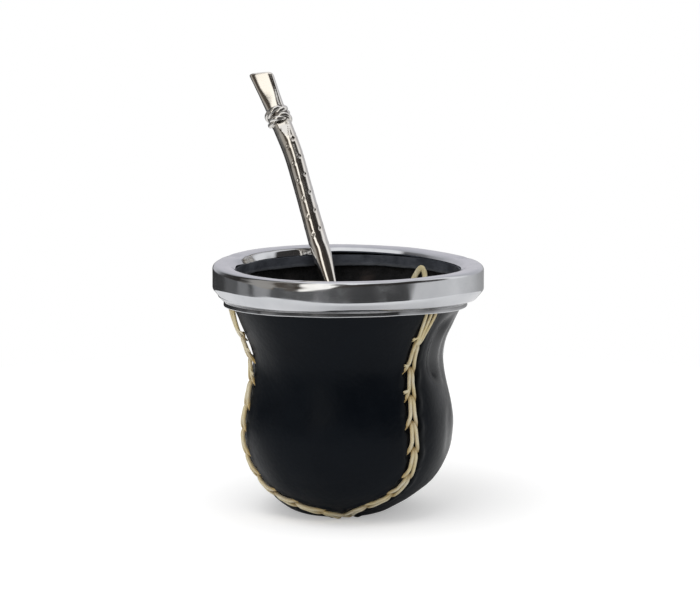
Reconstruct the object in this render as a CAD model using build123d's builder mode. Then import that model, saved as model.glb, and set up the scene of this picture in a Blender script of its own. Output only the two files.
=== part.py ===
from build123d import *
import math
import os

# A stitched leather mate cup with a formed metal rim, and a metal drinking straw standing in it.
# The origin is the middle of the cup's foot, +Z is up, and the straw leans towards +Y.

# Leather body: radii of the outside, and the heights they lie at
foot_radius = 12.0
belly_radius = 35.6
belly_height = 29.0
waist_radius = 32.4
waist_height = 50.5
neck_radius = 38.6
neck_height = 69.2
neck_slope = 24.0  # degrees from upright where the leather goes under the rim
tuck_flare = 2.0  # the leather widens this much more inside the rim
tuck_height = 10.8  # and reaches this far above the rim's lip
leather_thickness = 2.4
floor_thickness = 3.2

# Seams between the three leather panels, as directions around the cup
seam_angles = {"seam_back": 50.0, "seam_left": 190.0, "seam_right": 312.0}
seam_width = 4.8
seam_height = 1.1
seam_foot_gap = 1.2  # the sewn thread ends this far above the surface that the cup stands on

# Lining band inside the mouth
band_thickness = 0.8
band_height = 4.0
band_clearance = 0.1
band_gap = 0.3  # between the band and the top of the leather

# Rim: one ring of formed sheet metal, with heights above its lip and widths beyond the neck
rim_overhang = 6.4
rim_height = 13.8
rim_wall_high = 10.6
rim_wall_low = 5.7
rim_skirt_height = 1.8
rim_skirt_reach = 2.6
rim_crown_inset = 3.8  # from the outer wall in to the crown
rim_edge_drop = 1.6  # the mouth's edge lies this far below the crown
rim_sheet = 0.9
rim_edge_lean = 0.4  # share of the sheet's thickness that its inner face is drawn in at a bend
rim_clearance = 0.15

# Straw, from its foot to its tip
stem_diameter = 6.8
stem_lower_diameter = 5.2
straw_bore = 3.4
taper_length = 14.0
foot_direction = -42.0  # where the filter stands, as a direction around the cup
foot_swing = 20.0  # degrees up the rounded inside of the floor
rest_gap = 0.15
lean_direction = 105.5  # where the stem meets the rim, as a direction around the cup
bend_rise = 33.1  # the stem bends this far above the rim's edge
bend_angle = 5.5
bend_radius = 60.0
bend_to_ring = 11.3
ring_wall = 0.7
ring_bulge = 0.5
ring_length = 6.8
mouthpiece_step = 0.1  # the mouthpiece starts this much slimmer than the stem, all round
mouthpiece_length = 15.2
tip_width = 8.0
tip_thickness = 4.2
tip_wall = 1.0
tip_round = 0.8
filter_diameter = 10.5
filter_length = 24.0
filter_tip_diameter = 7.2
filter_hole = 1.3
filter_hole_depth = 1.2
filter_hole_rows = 4
filter_holes_round = 8
filter_hole_pitch = 3.2

os.makedirs("parts", exist_ok=True)

top_radius = neck_radius + tuck_flare
top_height = neck_height + tuck_height
band_radius = top_radius - leather_thickness - band_gap
rim_mouth_radius = band_radius - band_thickness / 2
rim_outer_radius = neck_radius + rim_overhang
rim_crown_radius = rim_outer_radius - rim_crown_inset
rim_crown_height = neck_height + rim_height
rim_edge_height = rim_crown_height - rim_edge_drop


def around(radius, direction, height=0.0):
    """The point at a radius and a direction around the cup's axis."""
    turn = math.radians(direction)
    return Vector(radius * math.cos(turn), radius * math.sin(turn), height)


def side_curve(inset, floor):
    """The cup's side from the foot's edge to the top, moved inwards by inset; its two ends are returned."""
    reach = belly_radius - inset - foot_radius
    upright = (0, 1)
    flare = (math.sin(math.radians(neck_slope)), math.cos(math.radians(neck_slope)))
    lower = EllipticalCenterArc((foot_radius, belly_height), reach, belly_height - floor, 270, arc_size=90)
    swell = Spline((lower @ 1, (waist_radius - inset, waist_height)), tangents=(upright, upright))
    neck = Spline((swell @ 1, (neck_radius - inset, neck_height)), tangents=(upright, flare))
    top = Spline((neck @ 1, (top_radius - inset, top_height)), tangents=(flare, upright))
    return lower @ 0, top @ 1


# Three leather panels, each a third of the turned wall and floor, sewn edge to edge
panel_names = {"seam_left": "leather_front", "seam_right": "leather_right", "seam_back": "leather_back"}
seam_order = sorted(seam_angles, key=seam_angles.get)
for seam, following in zip(seam_order, seam_order[1:] + seam_order[:1]):
    panel_arc = (seam_angles[following] - seam_angles[seam]) % 360
    with BuildPart() as panel:
        with BuildSketch(Plane.XZ.rotated((0, 0, seam_angles[seam]))):
            with BuildLine():
                outer_foot, outer_top = side_curve(0, 0)
                inner_foot, inner_top = side_curve(leather_thickness, floor_thickness)
                Line(outer_top, inner_top)
                Polyline(inner_foot, (0, floor_thickness), (0, 0), outer_foot)
            make_face()
        revolve(axis=Axis.Z, revolution_arc=panel_arc)
    panel.part.label = panel_names[seam]
    export_step(panel.part, f"parts/{panel.part.label}.step")

# Sewn thread of each seam: a strip that stands proud of the leather, from the foot to the rim
thread_top = neck_height - rim_clearance
for seam, direction in seam_angles.items():
    with BuildPart() as thread:
        with BuildSketch(Plane.XZ):
            with BuildLine():
                inside_foot, inside_top = side_curve(0, 0)
                outside_foot, outside_top = side_curve(-seam_height, -seam_height)
                Line(inside_foot, outside_foot)
                Line(inside_top, outside_top)
            make_face()
        revolve(axis=Axis.Z)
        with Locations(around(belly_radius, direction, seam_foot_gap)):
            Box(
                2 * (belly_radius - foot_radius),
                seam_width,
                thread_top - seam_foot_gap,
                rotation=(0, 0, direction),
                align=(Align.CENTER, Align.CENTER, Align.MIN),
                mode=Mode.INTERSECT,
            )
    thread.part.label = seam
    export_step(thread.part, f"parts/{seam}.step")


def rim_curve(inset):
    """The rim's section from the mouth's edge over the crown to the lip, moved into the sheet by inset."""
    mouth_edge = (rim_mouth_radius + inset * rim_edge_lean, rim_edge_height - inset)
    crown = Spline((mouth_edge, (rim_crown_radius, rim_crown_height - inset)), tangents=((1, 1), (1, 0)))
    wall_top = (rim_outer_radius - inset, neck_height + rim_wall_high)
    shoulder = Spline((crown @ 1, wall_top), tangents=((1, 0), (0, -1)))
    skirt = Polyline(
        shoulder @ 1,
        (rim_outer_radius - inset, neck_height + rim_wall_low + inset * rim_edge_lean),
        (neck_radius + rim_skirt_reach - inset, neck_height + rim_skirt_height + inset * rim_edge_lean),
        (neck_radius + rim_clearance + rim_sheet - inset, neck_height),
    )
    return crown @ 0, skirt @ 1


# Rim: the sheet's outer face and inner face, closed at the mouth's edge and at the lip, and turned
with BuildPart() as rim:
    with BuildSketch(Plane.XZ):
        with BuildLine():
            outer_edge, outer_lip = rim_curve(0)
            inner_edge, inner_lip = rim_curve(rim_sheet)
            Line(outer_edge, inner_edge)
            Line(outer_lip, inner_lip)
        make_face()
    revolve(axis=Axis.Z)
rim.part.label = "rim"
export_step(rim.part, "parts/rim.step")

# Lining band: a strip that hangs below the rim's inner edge, on the inside of the leather
with BuildPart() as band:
    band_top = rim_edge_height - rim_sheet
    with BuildSketch(Plane.XY.offset(band_top - band_height)):
        Circle(band_radius)
        Circle(band_radius - band_thickness, mode=Mode.SUBTRACT)
    extrude(amount=band_height - band_clearance)
band.part.label = "lining_band"
export_step(band.part, "parts/lining_band.step")

# Straw: the filter stands on the rounded inside of the floor, and the stem leans on the rim's inner edge
floor_reach = belly_radius - leather_thickness - foot_radius
floor_rise = belly_height - floor_thickness
swing = math.radians(foot_swing)
floor_normal = Vector(-floor_rise * math.sin(swing), 0, floor_reach * math.cos(swing)).normalized()
seat_lift = filter_tip_diameter / 2 + rest_gap
tip_centre = around(
    foot_radius + floor_reach * math.sin(swing) + floor_normal.X * seat_lift,
    foot_direction,
    belly_height - floor_rise * math.cos(swing) + floor_normal.Z * seat_lift,
)
edge_point = around(rim_mouth_radius, lean_direction, rim_edge_height)
stem_lean = math.radians((edge_point - tip_centre).get_angle(Vector(0, 0, 1)))
stem_reach = stem_diameter / 2 / math.cos(stem_lean)
taper_top = around(rim_mouth_radius - stem_reach - rest_gap, lean_direction, rim_edge_height)
lower_run = (taper_top - tip_centre).normalized()
upper_run = lower_run.rotate(Axis.Y, -bend_angle)
bend_point = taper_top + lower_run * (bend_rise / lower_run.Z)
ring_base = bend_point + upper_run * bend_to_ring
ring_top = ring_base + upper_run * ring_length
tip_end = ring_top + upper_run * mouthpiece_length
filter_top = tip_centre + lower_run * (filter_length - filter_tip_diameter / 2)
taper_base = taper_top - lower_run * taper_length


def station(point, run):
    """A plane across the straw at a point, with its wide side along X."""
    return Plane(origin=point, x_dir=run.cross(Vector(0, 1, 0)), z_dir=run)


with BuildPart() as straw_stem:
    with BuildLine() as stem_line:
        FilletPolyline(taper_top, bend_point, ring_top, radius=bend_radius)
    with BuildSketch(station(taper_top, lower_run)) as stem_section:
        Circle(stem_diameter / 2)
    sweep(sections=stem_section.sketch, path=stem_line.line)
    with BuildSketch(station(taper_base, lower_run)) as taper_start:
        Circle(stem_lower_diameter / 2)
    loft(sections=[taper_start.sketch, stem_section.sketch])
    extrude(taper_start.sketch, amount=-(taper_base - filter_top).length)
    with BuildLine() as bore_line:
        FilletPolyline(filter_top, bend_point, ring_top, radius=bend_radius)
    with BuildSketch(station(filter_top, lower_run)) as bore_section:
        Circle(straw_bore / 2)
    sweep(sections=bore_section.sketch, path=bore_line.line, mode=Mode.SUBTRACT)
straw_stem.part.label = "straw_stem"
export_step(straw_stem.part, "parts/straw_stem.step")

# Ring: a barrel-shaped collar on the stem's end
with BuildPart() as straw_ring:
    with BuildSketch(station(ring_base, upper_run) * Plane.XZ):
        with BuildLine():
            low_end = (stem_diameter / 2 + ring_wall, 0)
            high_end = (stem_diameter / 2 + ring_wall, ring_length)
            ThreePointArc(low_end, (stem_diameter / 2 + ring_wall + ring_bulge, ring_length / 2), high_end)
            Polyline(high_end, (stem_diameter / 2, ring_length), (stem_diameter / 2, 0), low_end)
        make_face()
    revolve(axis=Axis(ring_base, upper_run))
straw_ring.part.label = "straw_ring"
export_step(straw_ring.part, "parts/straw_ring.step")

# Mouthpiece: round at the ring, and flattened and wider towards the lips
with BuildPart() as straw_mouthpiece:
    with BuildSketch(station(ring_top, upper_run)) as mouth_base:
        Circle(stem_diameter / 2 - mouthpiece_step)
    with BuildSketch(station(tip_end, upper_run)) as mouth_tip:
        Ellipse(tip_width / 2, tip_thickness / 2)
    loft(sections=[mouth_base.sketch, mouth_tip.sketch])
    fillet(straw_mouthpiece.edges().sort_by(Axis(ring_top, upper_run))[-1], tip_round)
    with BuildSketch(station(ring_top, upper_run)) as bore_base:
        Circle(straw_bore / 2)
    with BuildSketch(station(tip_end, upper_run)) as bore_tip:
        Ellipse(tip_width / 2 - tip_wall, tip_thickness / 2 - tip_wall)
    loft(sections=[bore_base.sketch, bore_tip.sketch], mode=Mode.SUBTRACT)
straw_mouthpiece.part.label = "straw_mouthpiece"
export_step(straw_mouthpiece.part, "parts/straw_mouthpiece.step")

# Filter: a closed bulb with rows of small holes
with BuildPart() as straw_filter:
    bulb_plane = station(tip_centre, lower_run)
    bulb_length = filter_length - filter_tip_diameter / 2
    with BuildSketch(bulb_plane * Plane.XZ):
        with BuildLine():
            nose = CenterArc((0, 0), filter_tip_diameter / 2, 270, 90)
            side = Spline(
                (nose @ 1, (filter_diameter / 2, bulb_length / 2), (stem_lower_diameter / 2, bulb_length)),
                tangents=((0, 1), (-0.5, 1)),
            )
            Polyline(side @ 1, (0, bulb_length), (0, -filter_tip_diameter / 2))
        make_face()
    revolve(axis=Axis(tip_centre, lower_run))
    for row in range(filter_hole_rows):
        height = bulb_length / 2 + (row - (filter_hole_rows - 1) / 2) * filter_hole_pitch
        with Locations(bulb_plane.offset(height)):
            with PolarLocations(filter_diameter / 2 - filter_hole_depth, filter_holes_round):
                Cylinder(
                    filter_hole / 2,
                    2 * filter_hole_depth,
                    rotation=(0, 90, 0),
                    align=(Align.CENTER, Align.CENTER, Align.MIN),
                    mode=Mode.SUBTRACT,
                )
straw_filter.part.label = "straw_filter"
export_step(straw_filter.part, "parts/straw_filter.step")
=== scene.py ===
import bpy
import bisect
import math
import random

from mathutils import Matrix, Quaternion, Vector, noise


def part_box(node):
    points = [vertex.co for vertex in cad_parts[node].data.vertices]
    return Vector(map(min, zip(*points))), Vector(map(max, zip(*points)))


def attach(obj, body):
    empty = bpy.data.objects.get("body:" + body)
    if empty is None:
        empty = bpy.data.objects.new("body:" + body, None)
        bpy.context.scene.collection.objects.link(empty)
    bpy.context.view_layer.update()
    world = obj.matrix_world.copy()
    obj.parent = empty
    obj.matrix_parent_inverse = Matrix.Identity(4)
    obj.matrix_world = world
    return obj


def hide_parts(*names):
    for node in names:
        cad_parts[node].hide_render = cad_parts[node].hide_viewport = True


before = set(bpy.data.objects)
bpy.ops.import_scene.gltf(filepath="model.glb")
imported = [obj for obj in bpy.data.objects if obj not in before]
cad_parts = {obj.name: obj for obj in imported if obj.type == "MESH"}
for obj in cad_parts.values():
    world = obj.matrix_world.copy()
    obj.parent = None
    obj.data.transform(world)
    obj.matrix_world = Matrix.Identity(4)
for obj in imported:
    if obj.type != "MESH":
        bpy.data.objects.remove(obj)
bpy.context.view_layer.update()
print("frame loaded with", len(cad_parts), "nodes")

mm = 0.001  # pieces are worked out in millimetres


def lerp(a, b, t):
    return a + (b - a) * t


def ease(t):
    t = min(1.0, max(0.0, t))
    return t * t * (3 - 2 * t)


def hump(x, middle, reach):  # 1 at the middle, 0 from reach onwards
    return ease(1 - abs(x - middle) / reach)


def readCurve(knots, x):  # a smooth line through (x, value) knots
    if x <= knots[0][0]:
        return knots[0][1]
    if x >= knots[-1][0]:
        return knots[-1][1]
    i = max(n for n in range(len(knots) - 1) if knots[n][0] <= x)
    (x0, v0), (x1, v1) = knots[i], knots[i + 1]
    slope = (v1 - v0) / (x1 - x0)
    slopeBefore = slopeAfter = slope
    if i > 0:
        slopeBefore = (slope + (v0 - knots[i - 1][1]) / (x0 - knots[i - 1][0])) / 2
    if i + 2 < len(knots):
        slopeAfter = (slope + (knots[i + 2][1] - v1) / (knots[i + 2][0] - x1)) / 2
    t = (x - x0) / (x1 - x0)
    bend = slopeBefore * (t ** 3 - 2 * t ** 2 + t) + slopeAfter * (t ** 3 - t ** 2)
    return v0 + (v1 - v0) * t * t * (3 - 2 * t) + bend * (x1 - x0)


def readRound(knots, turn):  # the same for directions in degrees, going round
    return readCurve([(a + shift, v) for shift in (-360, 0, 360) for a, v in knots], turn % 360)


def ripple(point, size, seed=0.0):  # soft random value from -1 to 1
    return noise.noise(Vector(point) / size + Vector((seed, 7.3 * seed, 1.7)))


def around(radius, viewerTurn, height):  # viewerTurn 0 faces the camera, 90 is to its right
    turn = math.radians(viewerTurn - 90)
    return Vector((radius * math.cos(turn), radius * math.sin(turn), height))


def gridFaces(rows, columns, start=0, closed=False, joined=False, flip=False):
    # closed joins the last column to the first, joined does so for the rows
    faces = []
    for row in range(rows if joined else rows - 1):
        a, b = start + row * columns, start + (row + 1) % rows * columns
        for column in range(columns if closed else columns - 1):
            after = (column + 1) % columns
            face = (a + column, a + after, b + after, b + column)
            faces.append(face[::-1] if flip else face)
    return faces


def tubeFaces(rings, sides, start=0, flip=False):  # a tube with its two ends closed
    last = start + (rings - 1) * sides
    ends = [tuple(range(start, start + sides))[::-1], tuple(range(last, last + sides))]
    return gridFaces(rings, sides, start, closed=True, flip=flip) + [end[::-1] if flip else end for end in ends]


def makePiece(name, points, faces, finishes, standsFor, sharpAngle=None, marks=None, faceFinish=None):
    mesh = bpy.data.meshes.new(name)
    mesh.from_pydata([tuple(c * mm for c in p) for p in points], [], faces)
    for finish in finishes:
        mesh.materials.append(finish)
    if faceFinish:
        mesh.polygons.foreach_set("material_index", faceFinish)
    for mark, values in (marks or {}).items():
        mesh.attributes.new(mark, "FLOAT", "POINT").data.foreach_set("value", values)
    mesh.shade_smooth()
    if sharpAngle:
        mesh.set_sharp_from_angle(angle=math.radians(sharpAngle))
    mesh.update()
    piece = bpy.data.objects.new(name, mesh)
    bpy.context.scene.collection.objects.link(piece)
    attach(piece, "root")
    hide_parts(standsFor)


class Tubes:
    # gathers round or flat strands into one mesh
    def __init__(self):
        self.points, self.faces, self.marks = [], [], []

    def add(self, path, sides, halfWidth, halfHeight, ups, closed=False, mark=None, lowest=None, flank=0.0):
        rings = len(path)
        start = len(self.points)
        for i, centre in enumerate(path):
            if closed:
                along = (path[(i + 1) % rings] - path[i - 1]).normalized()
            else:
                along = (path[min(i + 1, rings - 1)] - path[max(i - 1, 0)]).normalized()
            across = along.cross(ups[i]).normalized()
            over = across.cross(along).normalized()
            size = 1.0
            if not closed:  # rounded ends
                size = math.sin(math.pi / 2 * min(1.0, (min(i, rings - 1 - i) + 0.6) / 2.6))
            for side in range(sides):
                turn = 2 * math.pi * side / sides
                point = centre + across * (halfWidth * size * math.cos(turn))
                point += over * (halfHeight * size * math.sin(turn))
                if lowest is not None:
                    point.z = max(point.z, lowest)
                self.points.append(point)
                # the marks carry painted shade; the flank term darkens a strand's sides
                self.marks.append(min(1.0, (mark[i] if mark else 0.0) + flank * abs(math.cos(turn)) ** 3))
        if closed:
            self.faces += gridFaces(rings, sides, start, closed=True, joined=True, flip=True)
        else:
            self.faces += tubeFaces(rings, sides, start, flip=True)


# finishes
def tone(red, green, blue):  # a colour as a screen shows it, 0 to 255
    return tuple(((c / 255 + 0.055) / 1.055) ** 2.4 if c > 10 else c / 3295 for c in (red, green, blue)) + (1.0,)


def feed(tree, node, inputs):  # links a socket or sets a value; i1, i2 are inputs by number
    for name, value in inputs.items():
        socket = node.inputs[int(name[1:]) if name[1:].isdigit() else name]
        if isinstance(value, bpy.types.NodeSocket):
            tree.links.new(value, socket)
        else:
            socket.default_value = value


def put(tree, kind, settings=None, **inputs):
    node = tree.nodes.new("ShaderNode" + kind)
    for name, value in (settings or {}).items():
        setattr(node, name, value)
    feed(tree, node, inputs)
    return node


def calc(tree, operation, first, second):
    return put(tree, "Math", {"operation": operation}, i0=first, i1=second).outputs[0]


def spread(tree, value, low, high, start=0.0, end=1.0, kind="LINEAR"):
    node = put(tree, "MapRange", {"interpolation_type": kind}, Value=value, i1=low, i2=high, i3=start, i4=end)
    return node.outputs[0]


def mixColour(tree, factor, first, second):
    return put(tree, "Mix", {"data_type": "RGBA"}, Factor=factor, i6=first, i7=second).outputs[2]


def readMark(tree, name):
    return put(tree, "Attribute", {"attribute_name": name}).outputs["Fac"]


def relief(tree, height, depth, strength):
    return put(tree, "Bump", None, Height=height, Distance=depth, Strength=strength).outputs["Normal"]


def newGroup(name, inputs, outputs):
    # an input's kind follows its first value: a number, a colour, or None for a place
    group = bpy.data.node_groups.new(name, "ShaderNodeTree")
    for label, value in inputs.items():
        kind = "Vector" if value is None else "Color" if isinstance(value, tuple) else "Float"
        socket = group.interface.new_socket(label, in_out="INPUT", socket_type="NodeSocket" + kind)
        if value is not None:
            socket.default_value = value
    for label, kind in outputs.items():
        group.interface.new_socket(label, in_out="OUTPUT", socket_type="NodeSocket" + kind)
    return group, group.nodes.new("NodeGroupInput").outputs, group.nodes.new("NodeGroupOutput")


def newFinish(name):
    finish = bpy.data.materials.new(name)
    finish.use_nodes = True
    tree = finish.node_tree
    return finish, tree, tree.nodes["Principled BSDF"], put(tree, "TexCoord").outputs["Object"]


# grain: hide cells with fine pores between them
grain, given, made = newGroup("grain", {"Place": None, "Cells": 700.0, "Pores": 0.4}, {"Height": "Float"})
cells = put(grain, "TexVoronoi", {"feature": "SMOOTH_F1"}, Vector=given["Place"], Scale=given["Cells"], Smoothness=0.5)
poreScale = calc(grain, "MULTIPLY", given["Cells"], 2.3)
pores = put(grain, "TexNoise", None, Vector=given["Place"], Scale=poreScale, Detail=3.0)
poreDepth = calc(grain, "MULTIPLY", pores.outputs[0], given["Pores"])
feed(grain, made, {"Height": calc(grain, "SUBTRACT", poreDepth, cells.outputs["Distance"])})

# blotch: two colours that drift into each other
blotch, given, made = newGroup(
    "blotch", {"Place": None, "Size": 60.0, "Sharpness": 0.2, "First": (0, 0, 0, 1), "Second": (1, 1, 1, 1)},
    {"Color": "Color", "Mask": "Float"})
drift = put(blotch, "TexNoise", None, Vector=given["Place"], Scale=given["Size"], Detail=5.0, Roughness=0.6)
mask = spread(blotch, drift.outputs[0], calc(blotch, "SUBTRACT", 0.5, given["Sharpness"]),
              calc(blotch, "ADD", 0.5, given["Sharpness"]), kind="SMOOTHSTEP")
feed(blotch, made, {"Color": mixColour(blotch, mask, given["First"], given["Second"]), "Mask": mask})

# handling: fine scratches and soft smudges on polished metal
handling, given, made = newGroup(
    "handling", {"Place": None, "Scratches": 1.0, "Smudges": 1.0, "Polish": 0.12, "Dull": 0.3},
    {"Roughness": "Float", "Height": "Float"})
smudge = put(handling, "TexNoise", None, Vector=given["Place"], Scale=140.0, Detail=4.0)
smudged = spread(handling, smudge.outputs[0], 0.42, 0.72, kind="SMOOTHSTEP")
smudged = calc(handling, "MULTIPLY", smudged, given["Smudges"])
stretch = put(handling, "Mapping", None, Vector=given["Place"], Scale=(260, 300, 2600), Rotation=(0.35, 0.2, 0.0))
scratch = put(handling, "TexNoise", None, Vector=stretch.outputs[0], Scale=1.0, Detail=6.0, Roughness=0.7)
scratched = calc(handling, "MULTIPLY", spread(handling, scratch.outputs[0], 0.55, 0.75), given["Scratches"])
handled = spread(handling, calc(handling, "ADD", smudged, scratched), 0.0, 1.0, given["Polish"], given["Dull"])
feed(handling, made, {"Roughness": handled, "Height": scratch.outputs[0]})


def patched(tree, place, look):  # a look's colour with patches of another
    return put(tree, "Group", {"node_tree": blotch}, Place=place, Size=look["patchSize"], Sharpness=look["patchEdge"],
               First=look["colour"], Second=look["patches"]).outputs


def grained(tree, place, look):
    pattern = put(tree, "Group", {"node_tree": grain}, Place=place, Cells=look["cells"], Pores=look["pores"])
    return relief(tree, pattern.outputs["Height"], look["depth"], look["relief"])


def worn(tree, place, look):
    return put(tree, "Group", {"node_tree": handling}, Place=place, Scratches=look["scratches"],
               Smudges=look["smudges"], Polish=look["polish"], Dull=look["dull"]).outputs


leatherLook = {
    "colour": tone(5, 10, 17),
    "patches": tone(9, 15, 22),
    "patchSize": 55.0,
    "patchEdge": 0.22,
    # painted shade for the grooves beside the seams
    "seamShadeTone": tone(4, 5, 6),
    "edgeWorn": tone(40, 41, 40),
    "roughness": 0.36,
    "patchRoughness": 0.5,
    "specular": 0.11,
    "cells": 620.0,
    "pores": 0.45,
    "depth": 0.00009,
    "relief": 0.55,
    "glossRoughness": 0.25,  # the gloss where hands have rubbed
    "glossIor": 1.8,
    "glossSmooths": 0.1,
}
leatherFinish, tree, shader, place = newFinish("blackLeather")
tint = patched(tree, place, leatherLook)
# the leather is painted darker beside the seams: painted shade in their grooves
shaded = mixColour(tree, readMark(tree, "seamShade"), tint["Color"], leatherLook["seamShadeTone"])
rubbed = readMark(tree, "polished")
satin = spread(tree, tint["Mask"], 0.0, 1.0, leatherLook["roughness"], leatherLook["patchRoughness"])
feed(tree, shader, {
    "Base Color": mixColour(tree, readMark(tree, "edgeRub"), shaded, leatherLook["edgeWorn"]),
    "Roughness": calc(tree, "SUBTRACT", satin, calc(tree, "MULTIPLY", rubbed, leatherLook["glossSmooths"])),
    "Specular IOR Level": leatherLook["specular"],
    "Coat Weight": rubbed,
    "Coat Roughness": leatherLook["glossRoughness"],
    "Coat IOR": leatherLook["glossIor"],
    "Normal": grained(tree, place, leatherLook),
})

fleshLook = {
    "colour": tone(10, 11, 13),
    "patches": tone(22, 22, 24),
    "patchSize": 420.0,
    "patchEdge": 0.12,
    "bald": tone(52, 44, 40),
    "roughness": 0.8,
    "cells": 1500.0,
    "pores": 1.2,
    "depth": 0.0002,
    "relief": 0.8,
}
fleshFinish, tree, shader, place = newFinish("leatherInside")
nap = patched(tree, place, fleshLook)["Color"]
feed(tree, shader, {
    "Base Color": mixColour(tree, readMark(tree, "bald"), nap, fleshLook["bald"]),
    "Roughness": fleshLook["roughness"],
    "Normal": grained(tree, place, fleshLook),
})

liningLook = {
    "colour": tone(52, 56, 64),
    "patches": tone(78, 82, 90),
    "patchSize": 160.0,
    "patchEdge": 0.15,
    # painted highlight along the strip's lower hem
    "hemHighlight": tone(92, 94, 96),
    "roughness": 0.5,
    "cells": 1800.0,
    "pores": 0.8,
    "depth": 0.0001,
    "relief": 0.6,
}
liningFinish, tree, shader, place = newFinish("liningStrip")
cloth = patched(tree, place, liningLook)["Color"]
feed(tree, shader, {
    # painted highlight where the strip's lower edge catches the light
    "Base Color": mixColour(tree, readMark(tree, "hemHighlight"), cloth, liningLook["hemHighlight"]),
    "Roughness": liningLook["roughness"],
    "Normal": grained(tree, place, liningLook),
})

threadLook = {
    "colour": tone(238, 222, 168),
    "patches": tone(246, 241, 222),
    "patchSize": 170.0,
    "patchEdge": 0.25,
    # colour of the thread's painted shade
    "ochreShade": tone(178, 147, 80),
    "pliesShade": 0.35,
    "roughness": 0.7,
    "sheen": 0.25,
    "twist": 2600.0,
    "twistUneven": 3.0,
    "depth": 0.00012,
    "relief": 0.7,
}
threadFinish, tree, shader, place = newFinish("sewingThread")
# painted shade: the thread turns ochre where it sinks into the holes, on its flanks and between its plies
sunkShade = mixColour(tree, readMark(tree, "sunkShade"), patched(tree, place, threadLook)["Color"], threadLook["ochreShade"])
plies = put(tree, "TexWave", {"bands_direction": "DIAGONAL"}, Vector=place, Scale=threadLook["twist"],
            Distortion=threadLook["twistUneven"], Detail=3.0)
plies.inputs["Detail Scale"].default_value = 1.4
between = spread(tree, plies.outputs["Fac"], 0.0, 0.5, threadLook["pliesShade"], 0.0)
feed(tree, shader, {
    "Base Color": mixColour(tree, between, sunkShade, threadLook["ochreShade"]),
    "Roughness": threadLook["roughness"],
    "Sheen Weight": threadLook["sheen"],
    "Normal": relief(tree, plies.outputs["Fac"], threadLook["depth"], threadLook["relief"]),
})

rimLook = {
    "colour": (0.76, 0.77, 0.795, 1.0),
    "patches": (0.64, 0.655, 0.685, 1.0),
    "patchSize": 45.0,
    "patchEdge": 0.2,
    # painted shade on the lip under the bevel, also used to darken the mouth's edge by the straw
    "darkTone": tone(58, 54, 50),
    "scratches": 0.5,
    "smudges": 0.7,
    "polish": 0.1,
    "dull": 0.26,
    "hammerSize": 95.0,
    "depth": 0.00026,
    "relief": 0.35,
}
rimFinish, tree, shader, place = newFinish("rimMetal")
metal = patched(tree, place, rimLook)["Color"]
hammer = put(tree, "TexNoise", None, Vector=place, Scale=rimLook["hammerSize"], Detail=2.0)
feed(tree, shader, {
    # painted shade on the lip under the bevel, and a darker mouth edge
    "Base Color": mixColour(tree, readMark(tree, "darkened"), metal, rimLook["darkTone"]),
    "Roughness": worn(tree, place, rimLook)["Roughness"],
    "Metallic": 1.0,
    "Normal": relief(tree, hammer.outputs[0], rimLook["depth"], rimLook["relief"]),
})

strawLook = {
    "colour": (0.86, 0.845, 0.82, 1.0),
    "patches": (0.82, 0.775, 0.72, 1.0),
    "patchSize": 90.0,
    "patchEdge": 0.25,
    # colour of the straw's painted shade in its hollows
    "hollowShade": tone(58, 46, 36),
    "scratches": 0.35,
    "smudges": 0.6,
    "polish": 0.07,
    "dull": 0.2,
    "satin": 0.22,
    "depth": 0.00005,
    "relief": 0.3,
}
strawFinish, tree, shader, place = newFinish("strawMetal")
metal = patched(tree, place, strawLook)["Color"]
handled = worn(tree, place, strawLook)
satin = calc(tree, "MULTIPLY", readMark(tree, "satin"), strawLook["satin"])
feed(tree, shader, {
    # painted shade in the pits, inside the mouth's slot and on the collar under the wires
    "Base Color": mixColour(tree, readMark(tree, "hollowShade"), metal, strawLook["hollowShade"]),
    "Roughness": calc(tree, "MAXIMUM", satin, handled["Roughness"]),
    "Metallic": 1.0,
    "Normal": relief(tree, handled["Height"], strawLook["depth"], strawLook["relief"]),
})
print("finishes made:", len(bpy.data.materials))


# leather cup
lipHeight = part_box("rim")[0].z / mm
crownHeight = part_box("rim")[1].z / mm

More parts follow.
